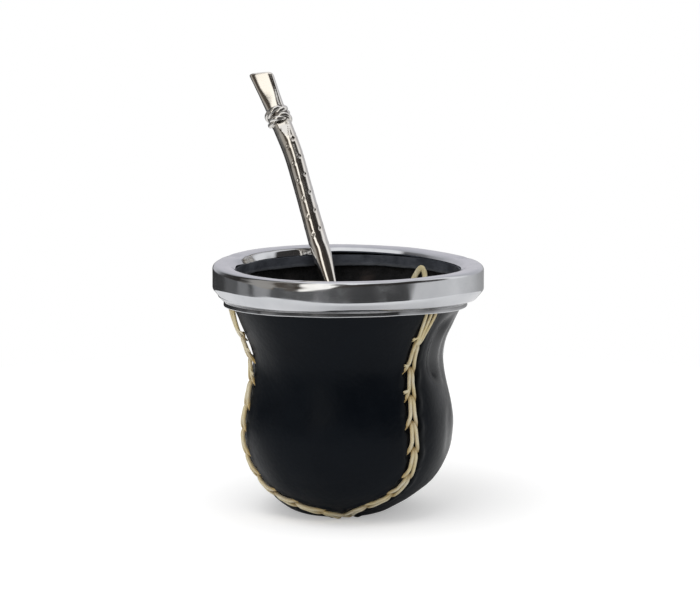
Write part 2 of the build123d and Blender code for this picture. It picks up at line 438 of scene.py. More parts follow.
leather = {
    "footRadius": 12.0,
    "bellyRadius": 35.3,
    "bellyHeight": 29.0,
    "waistRadius": 32.15,
    "waistHeight": 50.5,
    "neckRadius": 38.4,
    "neckSlope": 24.0,
    "topRadius": 40.6,
    "topHeight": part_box("leather_back")[1].z / mm,
    "thickness": 2.4,
    "floorThickness": 3.2,
    "rows": 190,
    "footRows": 10,
    "edgeColumns": 15,
    "middleColumns": 42,
    "edgeZone": 5.2,  # this much of a panel beside a seam has fine columns
    "bulge": 0.35,
    "unevenness": [(0.28, 17.0, 3.0), (0.10, 6.0, 5.0)],  # height, size, seed
    "insideUnevenness": [(0.2, 8.0, 2.0), (0.12, 3.0, 4.0)],
    "backFall": [(0, 0.0), (8, 0.4), (16, 0.9), (30, 1.1), (44, 1.3), (54, 1.7), (65, 1.7), (69, 1.2), (75, 0.6)],
    "grooveReach": 2.9,
    "footGroove": 1.1,
    "roll": 0.2,  # the leather stands up beside the groove
    "edgeWear": 0.55,
    "holeOffset": 2.25,
    "holeDepth": 0.9,
    "holeSize": 0.62,
    "gather": 0.22,  # the leather rises beside a hole and sinks between two
    "sink": 0.18,
    "gatherLength": 1.6,
    "meetingPoint": (1.0, -10.5),
    "footTuck": [(0, 0.0), (2, 1.7), (5, 2.0), (7.3, 1.7), (10, 1.1), (15, 0.6), (20, 0.2), (29, 0.0)],
    "lean": [(0, -3.0), (3, -2.8), (6, -2.1), (10, -1.3), (15, -0.9), (29, -0.6), (40, -0.4), (50, -0.8), (61, -1.4),
             (69, -1.1), (76, -0.3), (80, 0.0)],
    "sideRubbed": 0.68,
    # places rubbed glossy outside and bald inside: strength, turn and its reach, height and its reach
    "rubbed": [(1.0, 72, 24, 57, 16), (0.3, -66, 34, 64, 20), (0.26, -62, 26, 17, 15)],
    "bald": [(1.3, 169, 5.5, 72.5, 4.0), (0.55, -149, 4.0, 73.0, 2.6)],
    # folds of the right panel's waist: direction by height, where they fade, depth and half width
    "folds": [([(44, 63), (52, 60), (60, 61), (68, 66)], 42, 69, 1.3, 2.5),
              ([(44, 76), (52, 72), (60, 73), (68, 78)], 42, 68, 0.7, 1.7),
              ([(20, 74), (28, 71), (36, 72)], 17, 38, 0.3, 2.4)],
}


def hermite(start, end, startSlope, endSlope, steps):
    start, end, startSlope, endSlope = Vector(start), Vector(end), Vector(startSlope), Vector(endSlope)
    chord = (end - start).length
    points = []
    for step in range(1, steps + 1):
        t = step / steps
        point = start * (2 * t ** 3 - 3 * t ** 2 + 1) + end * (3 * t ** 2 - 2 * t ** 3)
        point += startSlope * chord * (t ** 3 - 2 * t ** 2 + t) + endSlope * chord * (t ** 3 - t ** 2)
        points.append(tuple(point))
    return points


def sideCurve(inset, floor):
    # outline of the cup's side, foot to top, as (radius, height)
    reach = leather["bellyRadius"] - inset - leather["footRadius"]
    slope = math.radians(leather["neckSlope"])
    flare = (math.sin(slope), math.cos(slope))
    points = []
    for step in range(61):
        swing = math.pi / 2 * step / 60
        height = leather["bellyHeight"] - (leather["bellyHeight"] - floor) * math.cos(swing)
        radius = leather["footRadius"] + reach * math.sin(swing)
        points.append((radius - readCurve(leather["footTuck"], height), height))
    waist = (leather["waistRadius"] - inset, leather["waistHeight"])
    neck = (leather["neckRadius"] - inset, lipHeight)
    points += hermite(points[-1], waist, (0, 1), (0, 1), 40)
    points += hermite(waist, neck, (0, 1), flare, 40)
    return points + hermite(neck, (leather["topRadius"] - inset, leather["topHeight"]), flare, (0, 1), 20)


def evenRows(points, rows):
    # the same outline at even steps, as (radius, height, outward radius, outward height, distance)
    lengths = [0.0]
    for (r0, z0), (r1, z1) in zip(points, points[1:]):
        lengths.append(lengths[-1] + math.hypot(r1 - r0, z1 - z0))
    places, i = [], 0
    for row in range(rows):
        target = lengths[-1] * row / (rows - 1)
        while i < len(points) - 2 and lengths[i + 1] < target:
            i += 1
        t = (target - lengths[i]) / (lengths[i + 1] - lengths[i])
        places.append((lerp(points[i][0], points[i + 1][0], t), lerp(points[i][1], points[i + 1][1], t), target))
    result = []
    for row, (radius, height, distance) in enumerate(places):
        before, after = places[max(0, row - 1)], places[min(rows - 1, row + 1)]
        run = Vector((after[0] - before[0], after[1] - before[1])).normalized()
        result.append((radius, height, run.y, -run.x, distance))
    return result


outerRows = evenRows(sideCurve(0, 0), leather["rows"])
innerRows = evenRows(sideCurve(leather["thickness"], leather["floorThickness"]), leather["rows"])
sideLength = outerRows[-1][4]

# each seam's direction against the distance up the side from the foot's edge, and its stitches
seams = {
    "left": {
        "turns": [(0, 6), (6.8, 0), (10.4, -20), (14.6, -43), (19.0, -59), (24.5, -67.5), (30, -71), (36, -72.5),
                  (46, -72.5), (60, -72.5), (72, -71), (94, -70)],
        "pitch": 8.3, "firstStitch": 8.2, "seed": 11, "holeSides": (1.0, 1.3), "fan": (-2.3, -0.2, 2.0),
        "groove": 0.55, "girth": 1.25, "proud": [(0, 0.0), (30, 0.15), (48, 0.3), (56, 0.6), (65, 0.65), (69, 0.4)],
        "snags": [(7.0, 1), (13.5, 1), (22.0, 1)],
    },
    "right": {
        "turns": [(0, 10), (6, 10), (11.4, 14), (14.3, 22), (19.3, 32), (25.7, 38.2), (33, 39.2), (47, 38.1),
                  (57, 39.8), (70, 42.8), (83, 45), (94, 45.5)],
        "pitch": 9.0, "firstStitch": 8.6, "seed": 23, "holeSides": (1.3, 0.8), "fan": (-2.4, 0.1, 2.5),
        "groove": 1.25, "girth": 1.06, "proud": [(0, 0.0), (69, 0.0)],
        "snags": [(8.0, -1), (17.5, -1), (26.0, -1)],
    },
    "back": {
        "turns": [(0, 140), (94, 140)],
        "pitch": 8.6, "firstStitch": 8.4, "seed": 37, "holeSides": (1.0, 1.0), "fan": (-2.2, 0.0, 2.2),
        "groove": 1.1, "girth": 1.0, "proud": [(0, 0.0), (69, 0.0)],
        "snags": [(24.0, 1)],
    },
}


def seamTurn(seam, distance):
    return readCurve(seams[seam]["turns"], distance)


def sidePoint(rowData, turn, lift=0.0):
    radius, height, outRadius, outHeight, _ = rowData
    point = around(radius + outRadius * lift, turn, height + outHeight * lift)
    point.x += readCurve(leather["lean"], height)
    return point


def interpolatedRow(rows, distance):
    place = min(len(rows) - 1.001, max(0.0, distance / rows[-1][4] * (len(rows) - 1)))
    i = int(place)
    return tuple(lerp(a, b, place - i) for a, b in zip(rows[i], rows[i + 1]))


def footPoint(rows, turn, share, height):
    # from the seams' meeting point, share 0, to the foot's edge, share 1
    ring = sidePoint(rows[0], turn)
    middle = Vector((leather["meetingPoint"][0] + readCurve(leather["lean"], 0), leather["meetingPoint"][1], height))
    return middle.lerp(Vector((ring.x, ring.y, height)), share)


pathStep = 0.4


class SeamLine:
    # the seam's line on the leather from the top down to the meeting point, as (point, outward, height)
    def __init__(self, seam):
        self.path = []
        distance = sideLength
        while distance > 0:
            data = interpolatedRow(outerRows, distance)
            turn = seamTurn(seam, distance)
            self.path.append((sidePoint(data, turn), around(data[2], turn, data[3]).normalized(), data[1]))
            distance -= pathStep
        for i in range(25):
            self.path.append((footPoint(outerRows, seamTurn(seam, 0), 1 - i / 24, 0.0), Vector((0, 0, -1)), 0.0))
        self.proud = seams[seam]["proud"]
        self.lengths = [0.0]
        for (a, _, _), (b, _, _) in zip(self.path, self.path[1:]):
            self.lengths.append(self.lengths[-1] + (b - a).length)
        below = [i for i, (_, _, height) in enumerate(self.path) if height < lipHeight]
        self.start = self.lengths[below[0]]  # where the seam comes out from under the rim
        self.length = self.lengths[-1] - self.start

    def at(self, run, side=0.0, lift=0.0):
        target = min(self.lengths[-1] - 0.001, max(0.0, run + self.start))
        low = bisect.bisect_right(self.lengths, target) - 1
        high = low + 1
        t = (target - self.lengths[low]) / max(1e-6, self.lengths[high] - self.lengths[low])
        point = self.path[low][0].lerp(self.path[high][0], t)
        out = self.path[low][1].lerp(self.path[high][1], t).normalized()
        a, b = max(0, low - 4), min(len(self.path) - 1, high + 4)
        along = (self.path[b][0] - self.path[a][0]).normalized()
        across = out.cross(along).normalized()  # towards the viewer's right
        return point + across * side + out * lift, out

    def runAt(self, row):  # how far along the seam a row of the side lies
        steps = (sideLength - row[4]) / pathStep
        i = min(len(self.lengths) - 2, int(steps))
        return lerp(self.lengths[i], self.lengths[i + 1], steps - int(steps)) - self.start


def stitchPlan(seam):
    # where each stitch starts, with its small differences from the next
    values = seams[seam]
    chance = random.Random(values["seed"])
    plan, run = [], values["firstStitch"]
    while run < seamLines[seam].length - 3.0:
        plan.append({
            "run": run,
            "pitch": values["pitch"] * chance.uniform(0.93, 1.07),
            "drift": chance.uniform(-0.18, 0.18),
            "left": chance.uniform(0.86, 1.14) * values["holeSides"][0],
            "right": chance.uniform(0.86, 1.14) * values["holeSides"][1],
            "width": chance.uniform(0.92, 1.08),
            "stretch": chance.uniform(0.94, 1.06),
        })
        run += plan[-1]["pitch"]
    return plan


legReach = 1.3  # a stitch's legs run this share of the pitch
seamLines = {name: SeamLine(name) for name in seams}
seamRuns = {name: [line.runAt(row) for row in outerRows] for name, line in seamLines.items()}
stitchPlans = {name: stitchPlan(name) for name in seams}
seamHoles = {name: [(s["run"] + legReach * s["pitch"] * s["stretch"], side * leather["holeOffset"] * s[leg])
                    for s in plan for side, leg in ((-1, "left"), (1, "right"))] for name, plan in stitchPlans.items()}


def bell(away, reach):
    return math.exp(-(away / reach) ** 2)


def patchAt(patch, turn, height):
    strength, middleTurn, turnReach, middleHeight, heightReach = patch
    return strength * hump(turn, middleTurn, turnReach) * hump(height, middleHeight, heightReach)


def panelLift(panel, rowData, turn, share, gaps, runs):  # gaps and runs: how far off and along its two seams
    # how far the leather stands out from its plain outline at a place on a panel, and its marks there
    radius, height, _, _, distance = rowData
    lift = leather["bulge"] * math.sin(math.pi * share) * ease(distance / 12)
    seamShade = rub = 0.0
    for seam, gap, run, side in zip(panels[panel], gaps, runs, (1, -1)):
        lift -= seams[seam]["groove"] * (1 - ease(gap / leather["grooveReach"]))
        if panel == "back" and seam == "left":  # this panel falls away behind the seam
            lift -= readCurve(leather["backFall"], height) * ease(gap / 2.5) * (1 - ease((gap - 8) / 14))
        lift += leather["roll"] * hump(gap, 3.3, 1.9)
        pitch, reach = seams[seam]["pitch"], leather["gatherLength"]
        for holeRun, holeSide in seamHoles[seam]:
            off = run - holeRun
            if abs(off) < pitch / 2 and (holeSide > 0) == (side > 0):
                lift -= leather["holeDepth"] * bell(math.hypot(off * 0.8, gap - abs(holeSide)), leather["holeSize"])
                lift += leather["gather"] * bell(off, reach) * hump(gap, 3.7, 1.7)
                lift -= leather["sink"] * bell(abs(off) - pitch / 2, reach) * hump(gap, 3.2, 2.2)
        # painted shade: darker in the groove beside the seam
        seamShade = max(seamShade, 1 - ease((gap - 2.2) / 1.6))
        rub = max(rub, hump(gap, 3.9, 1.6))
    place = around(radius, turn, height)
    lift += sum(rise * ripple(place, size, seed) for rise, size, seed in leather["unevenness"])
    if panel == "right":
        for turns, low, high, depth, reach in leather["folds"]:
            depth *= ease((height - low) / 7) * ease((high - height) / 6)
            off = math.radians(turn - readCurve(turns, height)) * radius
            lift += depth * (0.45 * bell(off - 1.9 * reach, reach) - bell(off, reach))
    facing = (turn + 180) % 360 - 180
    polish = leather["sideRubbed"] * ease((facing - 50) / 22) * ease((height - 8) / 16) * ease((190 - facing) / 40)
    polish += sum(patchAt(patch, facing, height) for patch in leather["rubbed"])
    polish *= 0.8 + 0.5 * ripple(place, 11.0, 14.0)
    rub = max(0.0, rub * leather["edgeWear"] * (0.5 + 0.5 * ripple(place, 9.0, 8.0))) * ease(height / 60 + 0.2)
    return lift, {"seamShade": seamShade, "edgeRub": rub, "polished": min(1.0, max(0.0, polish))}


panels = {"front": ("left", "right"), "right": ("right", "back"), "back": ("back", "left")}


def panelColumns(width):
    zone = min(leather["edgeZone"], width * 0.42) / width
    edge, middle = leather["edgeColumns"], leather["middleColumns"]
    shares = [zone * (i / edge) for i in range(edge)]
    shares += [zone + (1 - 2 * zone) * i / middle for i in range(middle)]
    return shares + [1 - zone * (1 - i / edge) for i in range(edge + 1)]


def buildPanel(panel):
    first, second = panels[panel]
    points, marks = [], {"seamShade": [], "edgeRub": [], "bald": [], "polished": []}

    def keep(point, values):
        points.append(point)
        for name, kept in marks.items():
            kept.append(values.get(name, 0.0))

    def turnsAt(distance):
        turnA, turnB = seamTurn(first, distance), seamTurn(second, distance)
        return turnA, turnB + 360 if turnB < turnA else turnB

    def addRow(row, inside):
        data = (innerRows if inside else outerRows)[row]
        height, outer = data[1], outerRows[row]
        turnA, turnB = turnsAt(outer[4])
        width = math.radians(turnB - turnA) * outer[0]
        slants = [math.atan(math.radians(seamTurn(seam, outer[4] + 0.5) - seamTurn(seam, outer[4] - 0.5)) * outer[0])
                  for seam in (first, second)]
        for share in panelColumns(width):
            turn = lerp(turnA, turnB, share)
            if inside:
                place = around(data[0], turn, height)
                lift = sum(rise * ripple(place, size, seed) for rise, size, seed in leather["insideUnevenness"])
                facing = (turn + 180) % 360 - 180
                bald = max(patchAt(patch, facing, height) for patch in leather["bald"])
                bald *= max(0.0, 0.5 + 0.9 * ripple(place, 1.3, 6.0))
                keep(sidePoint(data, turn, lift), {"bald": min(1.0, max(0.0, bald))})
                continue
            before, behind = share * width, (1 - share) * width
            gaps = [before * math.cos(slants[0]), behind * math.cos(slants[1])]
            runs = [seamRuns[first][row] - before * math.sin(slants[0]),
                    seamRuns[second][row] + behind * math.sin(slants[1])]
            lift, values = panelLift(panel, data, turn, share, gaps, runs)
            point = sidePoint(data, turn, lift)
            point.z = max(point.z, 0.0)
            keep(point, values)

    def addFootRow(share, inside):
        turnA, turnB = turnsAt(0)
        width = math.radians(turnB - turnA) * leather["footRadius"]
        rows, height = (innerRows, leather["floorThickness"]) if inside else (outerRows, 0.0)
        for column in panelColumns(width):
            point = footPoint(rows, lerp(turnA, turnB, column), share, height)
            gap = min(column, 1 - column) * width * share
            if not inside:
                point.z += leather["footGroove"] * (1 - ease(gap / 2.2)) * ease(share * 4)
            # painted shade in the groove along the foot's seams
            keep(point, {"seamShade": 0.0 if inside else 1 - ease((gap - 1.5) / 1.5)})

    for inside in (False, True):
        for i in range(leather["footRows"]):
            addFootRow((i + 0.35) / leather["footRows"], inside)
        for row in range(leather["rows"]):
            addRow(row, inside)
    rows = leather["footRows"] + leather["rows"]
    columns = 2 * leather["edgeColumns"] + leather["middleColumns"] + 1
    inner, last, top = rows * columns, columns - 1, (rows - 1) * columns
    outerFaces = gridFaces(rows, columns)
    innerFaces = gridFaces(rows, columns, inner, flip=True)
    edges = []
    for a in range(0, top, columns):
        b = a + columns
        edges.append((a, b, inner + b, inner + a))
        edges.append((b + last, a + last, inner + a + last, inner + b + last))
    for column in range(last):
        edges.append((column + 1, column, inner + column, inner + column + 1))
        edges.append((top + column, top + column + 1, inner + top + column + 1, inner + top + column))
    faceFinish = [0] * len(outerFaces) + [1] * len(innerFaces) + [0] * len(edges)
    makePiece("leather." + panel, points, outerFaces + innerFaces + edges, [leatherFinish, fleshFinish],
              "leather_" + panel, 50, marks, faceFinish)


for name in panels:
    buildPanel(name)
print("leather panels built")


# seams
thread = {
    "halfWidth": 0.64,
    "halfHeight": 0.5,
    "sides": 12,
    "rings": 17,
    "sideways": [(0, 0.30), (0.25, 0.68), (0.62, 0.98), (0.84, 1.7), (1, 2.4)],
    "height": [(0, -0.8), (0.18, 0.25), (0.45, 0.38), (0.75, 0.3), (1, -1.2)],
    "fanTop": -3.6,
    "lowest": 0.08,
    "insidePitch": 8.4,
    "insideSlant": 1.1,
    "insideEnd": 16.0,
    "insideGirth": 1.25,
    "loop": (1.6, -5.2),  # sideways ends of the slack turn
    "loopDrop": 7.5,
    "loopGirth": 1.8,
    "fibreLength": (2.9, 3.7),
    "fibreGirth": 0.45,
}


def sewnStrand(tubes, line, knots, halfWidth, halfHeight, rings):
    # knots: (run, sideways, height) from one end to the other
    path, ups, sunkShade = [], [], []
    for i in range(rings):
        t = i / (rings - 1) * (len(knots) - 1)
        run, side, lift = (readCurve([(n, knot[part]) for n, knot in enumerate(knots)], t) for part in range(3))
        point, out = line.at(run, side, lift)
        point += out * readCurve(line.proud, point.z)
        if point.z < 1.1:
            point.z = max(point.z, 0.62)
        path.append(point)
        ups.append(out)
        # painted shade where the strand sinks towards the leather
        sunkShade.append(min(1.0, max(0.0, 0.55 - lift)) * 0.9)
    tubes.add(path, thread["sides"], halfWidth, halfHeight, ups, mark=sunkShade, lowest=thread["lowest"], flank=0.5)


def buildSeam(name):
    line, values, plan = seamLines[name], seams[name], stitchPlans[name]
    chance = random.Random(values["seed"] + 100)
    tubes = Tubes()
    wide, high = thread["halfWidth"], thread["halfHeight"]
    for stitch in plan:
        reach = legReach * stitch["pitch"] * stitch["stretch"]
        for side, leg in ((-1, "left"), (1, "right")):
            if stitch["run"] + reach > line.length + 1.0:
                continue
            lean = chance.uniform(-0.12, 0.12)
            knots = []
            for share in (0, 0.12, 0.25, 0.4, 0.6, 0.8, 0.92, 1.0):
                away = readCurve(thread["sideways"], share) * side * stitch[leg]
                away += stitch["drift"] * (1 - share) + lean * math.sin(math.pi * share)
                lift = readCurve(thread["height"], share) + (0.12 if side > 0 else 0.0) * hump(share, 0.3, 0.3)
                knots.append((stitch["run"] + share * reach, away, lift))
            girth = values["girth"] * stitch["width"]
            sewnStrand(tubes, line, knots, wide * girth, high * girth, thread["rings"])
    # three strands spread out under the rim
    top, meet = thread["fanTop"], plan[0]["run"] + 2.2
    for side in values["fan"]:
        knots = [(top, side, -0.4), (top + 2.8, side * 0.9, 0.3), (meet * 0.5, side * 0.55, 0.7),
                 (meet - 1.5, side * 0.3, 0.6), (meet + 1.0, side * 0.2, -0.8)]
        sewnStrand(tubes, line, knots, wide * 0.95, high, 16)
    # frayed ends where the thread has caught
    for run, side in values["snags"]:
        for fibre in (-1, 0, 1):
            end = run + 0.5 + fibre * 0.55 + chance.uniform(-0.2, 0.2)
            reach = chance.uniform(*thread["fibreLength"])
            start = run + 0.12 * fibre
            knots = [(start - 2.2, side * 0.7, 0.2), (start - 1.0, side * 1.3, 0.7), (start, side * 2.1, 0.7),
                     (end, side * reach, 0.25)]
            sewnStrand(tubes, line, knots, wide * thread["fibreGirth"], high * 0.5, 10)
    # the thread's way on the inside of the leather
    height, slant, slack = sideLength - 3.0, -thread["insideSlant"], name == "back"
    while height > thread["insideEnd"]:
        path, ups = [], []
        for i in range(16):
            share = i / 15
            if slack:  # a loose turn standing at the top
                sideways = lerp(thread["loop"][0], thread["loop"][1], share)
                distance = height - thread["loopDrop"] * (2 * share - 1) ** 2
            else:
                sideways = lerp(-slant, slant, share)
                distance = height - thread["insidePitch"] * 1.05 * share
            data = interpolatedRow(innerRows, distance * innerRows[-1][4] / sideLength)
            turn = seamTurn(name, distance) + math.degrees(sideways / 36)
            press = -0.45 - 0.35 * math.sin(math.pi * share) + (0.8 if i in (0, 15) else 0)
            path.append(sidePoint(data, turn, press))
            ups.append(-around(data[2], turn, data[3]).normalized())
        girth = thread["loopGirth"] if slack else thread["insideGirth"]
        # a little painted shade on the strands inside the cup
        tubes.add(path, thread["sides"], wide * girth, high, ups, mark=[0.1] * 16)
        height -= thread["insidePitch"]
        slant, slack = -slant, False
    makePiece("thread." + name, tubes.points, tubes.faces, [threadFinish], "seam_" + name,
              marks={"sunkShade": tubes.marks})


for name in seams:
    buildSeam(name)
print("seams sewn")


# rim
rim = {
    "sheet": 0.9,
    "rounds": 288,
    # section from the mouth's edge to the lip: radius, height, how round its corner is
    "section": [(37.5, 81.4, 0.0), (39.0, 82.6, 1.2), (41.4, 83.0, 1.6), (44.2, 82.9, 1.0), (45.0, 82.0, 0.9),
                (45.0, 75.9, 0.7), (42.7, 73.0, 0.4), (40.35, 71.5, 0.3), (40.5, 70.0, 0.3), (39.7, 69.8, 0.0)],
    # corrections going round, by the part of the section that they move
    "crownHeights": [(0, -0.2), (40, 0.0), (90, -0.5), (122, -0.6), (150, -0.1), (180, 0.35), (225, 0.5), (247, 0.15),
                     (270, -0.1), (322, -0.4), (345, -0.3)],
    "shoulderHeights": [(0, 0.0), (90, 0.0), (270, 0.0), (300, -0.2), (322, -0.9), (346, -0.9)],
    "wallLows": [(0, -0.25), (25, 0.1), (50, 0.2), (70, -0.6), (90, -1.5), (130, -0.6), (180, -0.5), (250, -0.8),
                 (270, -1.1), (300, 0.0), (336, 0.2)],
    "skirtHeights": [(0, 0.3), (35, 0.1), (50, -0.2), (90, -1.8), (180, -0.5), (270, -0.1), (325, -0.2)],
    "lipHeights": [(0, 1.0), (25, 1.0), (40, 0.6), (60, -0.2), (90, -1.0), (180, -0.4), (270, -1.0), (300, -0.2),
                   (325, 0.4), (340, 0.8)],
    "skirtLean": -0.9,
    "unevenness": [(0.13, 13.0, 9.0), (0.06, 5.0, 12.0)],  # height, size, seed
    "held": 0.03,  # keeps the unevenness inside the rim's size
    "skirtUnevenness": 0.8,
    "edgeUnevenness": 0.22,
    "drawn": (197, 268),  # the mouth's edge is drawn down between these directions
    "drawnDown": 1.25,
    "drawnOut": 0.35,
    "dents": [(0.55, 247, 5, 2.0, 1.6), (0.4, 113, 4, 2.2, 1.4)],  # depth, turn, reach, part of the section, reach
    "edgeDark": 0.6,
    # strength of the painted shade on the lip under the bevel
    "grooveShade": 0.8,
}


def roundedSection(section, steps=5):
    # the section with its corners rounded, and a number for how far down it each point is
    points = []
    for i, (radius, height, corner) in enumerate(section):
        here = Vector((radius, height))
        if i in (0, len(section) - 1) or corner == 0:
            points.append((here, float(i)))
            continue
        before, after = Vector(section[i - 1][:2]), Vector(section[i + 1][:2])
        toBefore, toAfter = before - here, after - here
        cut = min(corner, toBefore.length * 0.48, toAfter.length * 0.48)
        a, b = here + toBefore.normalized() * cut, here + toAfter.normalized() * cut
        for step in range(steps + 1):
            t = step / steps
            points.append((a.lerp(here, t).lerp(here.lerp(b, t), t), i - 0.3 + 0.6 * t))
        nextCut = min(section[i + 1][2], toAfter.length * 0.48)
        if i < len(section) - 2 and toAfter.length - cut - nextCut > 1.2:  # a long straight part gets rows of its own
            end = after - toAfter.normalized() * nextCut
            points += [(b.lerp(end, extra / 4), i + 0.3 + 0.1 * extra) for extra in (1, 2, 3)]
    return points


def buildRim():
    section = roundedSection(rim["section"])
    outline = [(place.x, place.y, index, 0.0) for place, index in section]
    for i in range(len(section) - 1, -1, -1):
        before, after = section[max(0, i - 1)][0], section[min(len(section) - 1, i + 1)][0]
        run = (after - before).normalized()
        place = section[i][0] + Vector((run.y, -run.x)) * rim["sheet"]
        outline.append((place.x, place.y, section[i][1], 1.0))
    points, darkened = [], []
    drawnFrom, drawnTo = rim["drawn"]
    for step in range(rim["rounds"]):
        turn = 360 * step / rim["rounds"]
        crown, shoulder, wall, skirt, lip = (readRound(rim[part], turn) for part in (
            "crownHeights", "shoulderHeights", "wallLows", "skirtHeights", "lipHeights"))
        for radius, height, index, inner in outline:
            rise = crown * (1 - ease(index - 4.0)) + shoulder * hump(index, 4.0, 1.0) + wall * hump(index, 5.0, 1.0)
            rise += skirt * hump(index, 6.0, 1.0) + lip * ease(index - 6.0)
            place = around(radius, turn, height)
            wave = sum(lift * ripple(place, size, seed) for lift, size, seed in rim["unevenness"]) - rim["held"]
            wave *= 1 + rim["skirtUnevenness"] * ease((index - 5.2) / 1.5)
            outwards = wave
            if index < 1.2:
                drawn = ease((turn - drawnFrom) / 2.2) * ease((drawnTo - turn) / 30) * (1 - ease(index))
                rise -= rim["drawnDown"] * drawn
                outwards += rim["edgeUnevenness"] * ripple((turn * 0.12, 0, 3), 1.0, 5.0) + rim["drawnOut"] * drawn
            rise -= sum(depth * hump(turn, a, b) * hump(index, c, d) for depth, a, b, c, d in rim["dents"])
            point = around(radius + outwards, turn, height + rise + wave * 0.6)
            point.x += rim["skirtLean"] * ease((index - 5.0) / 1.6)
            points.append(point)
            # darker at the mouth's edge beside its drawn-down part, where the straw rests
            darkening = hump(turn, drawnFrom, 7) * hump(index, 0.6, 1.0) * max(0.0, 0.6 + ripple(place, 1.5, 4.0))
            # painted shade on the narrow lip under the bevel
            grooveShading = (1 - inner) * hump(index, 7.1, 1.15) * (0.85 + 0.4 * ripple(place, 9.0, 2.0))
            darkened.append(min(1.0, max(0.0, rim["edgeDark"] * darkening + rim["grooveShade"] * grooveShading)))
    faces = gridFaces(rim["rounds"], len(outline), closed=True, joined=True)
    makePiece("rim.ring", points, faces, [rimFinish], "rim", 48, {"darkened": darkened})


buildRim()

lining = {
    "outerRadius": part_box("lining_band")[1].x / mm,
    "low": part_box("lining_band")[0].z / mm,
    "high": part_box("lining_band")[1].z / mm,
    "thickness": 0.8,
    "rounds": 240,
    "rise": 9,
    "sags": [(0.28, 0.09, 2, 1.0), (0.12, 0.4, 5, 2.0)],  # depth, rate going round, place and seed
    "sagRoom": 0.3,
    "pucker": 0.16,
    "hemRoll": 0.25,
}


def buildLining():
    points, hemHighlights = [], []
    for step in range(lining["rounds"]):
        turn = 360 * step / lining["rounds"]
        sag = sum(depth * ripple((turn * rate, place, 0), 1.0, seed) for depth, rate, place, seed in lining["sags"])
        for outside in (False, True):
            for i in range(lining["rise"]):
                share = i / (lining["rise"] - 1)
                if outside:
                    share = 1 - share
                height = lerp(lining["low"] + sag + lining["sagRoom"], lining["high"], share)
                radius = lining["outerRadius"] - (0.0 if outside else lining["thickness"])
                radius += lining["pucker"] * ripple((turn * 0.35, height * 0.4, 1), 1.0, 3.0) * (1 - 0.5 * share)
                if not outside:
                    radius -= lining["hemRoll"] * hump(share, 0.08, 0.12)
                points.append(around(radius, turn, height))
                # painted highlight just above the lower edge of the strip's inner face
                hemHighlights.append(0.0 if outside else hump(share, 0.06, 0.11))
    faces = gridFaces(lining["rounds"], 2 * lining["rise"], closed=True, joined=True)
    makePiece("lining.strip", points, faces, [liningFinish], "lining_band", 50, {"hemHighlight": hemHighlights})


buildLining()
print("rim and lining built")


# straw
straw = {
    "filterTop": (8.076, -1.724, 25.135),
    "taperBase": (-5.357, 24.979, 69.768),
    "taperTop": (-8.857, 31.939, 81.4),
    "bendPoint": (-19.2, 51.742, 114.5),
    "ringBase": (-23.2, 57.359, 123.4),
    "ringTop": (-25.5, 60.74, 128.7),
    "tipEnd": (-30.65, 68.295, 140.7),
    "upperRadius": 3.4,
    "lowerRadius": 2.6,
    "bendEase": 5.0,
    "sides": 72,
    "stepLength": 0.3,
    "flattening": 0.2,
    "twistStart": 45.0,
    "twistRate": 2.0,  # degrees for each millimetre
    "dotRadius": 0.36,
    "dotDepth": 0.24,
    "dotLip": 0.05,
    "dotLipRadius": 0.75,
    "dotLipWidth": 0.28,
    "dotShade": 0.9,
    "dotRise": 14.0,  # length of straw in which a row of dots goes once round
    "dotRows": 2,
    "dotGap": 0.14,  # share of a turn between dots
    "flatSpread": 38.0,  # the flat below the ring: degrees to each side, and how far down it runs out
    "flatLength": 9.0,
    "flatTurn": 98.0,
}
corners = {name: Vector(place) for name, place in straw.items() if isinstance(place, tuple)}
lowerRun = (corners["bendPoint"] - corners["filterTop"]).normalized()
upperRun = (corners["ringTop"] - corners["bendPoint"]).normalized()
lowerLength = (corners["bendPoint"] - corners["filterTop"]).length
stemLength = lowerLength + (corners["ringTop"] - corners["bendPoint"]).length
ringLength = (corners["ringTop"] - corners["ringBase"]).length


def stemPlace(distance):
    # point and direction on the straw's middle line, from the filter up
    near = distance - lowerLength
    bend, middle = straw["bendEase"], corners["bendPoint"]
    if near < -bend:
        return corners["filterTop"] + lowerRun * distance, lowerRun
    if near > bend:
        return middle + upperRun * near, upperRun
    t = (near + bend) / (2 * bend)
    start, end = middle - lowerRun * bend, middle + upperRun * bend
    return start.lerp(middle, t).lerp(middle.lerp(end, t), t), lowerRun.lerp(upperRun, t).normalized()


def strawFrame(run):
    # sideways along the mouthpiece's width, and the way that it faces
    across = run.cross(Vector((0, 1, 0))).normalized()
    return across, run.cross(across).normalized()


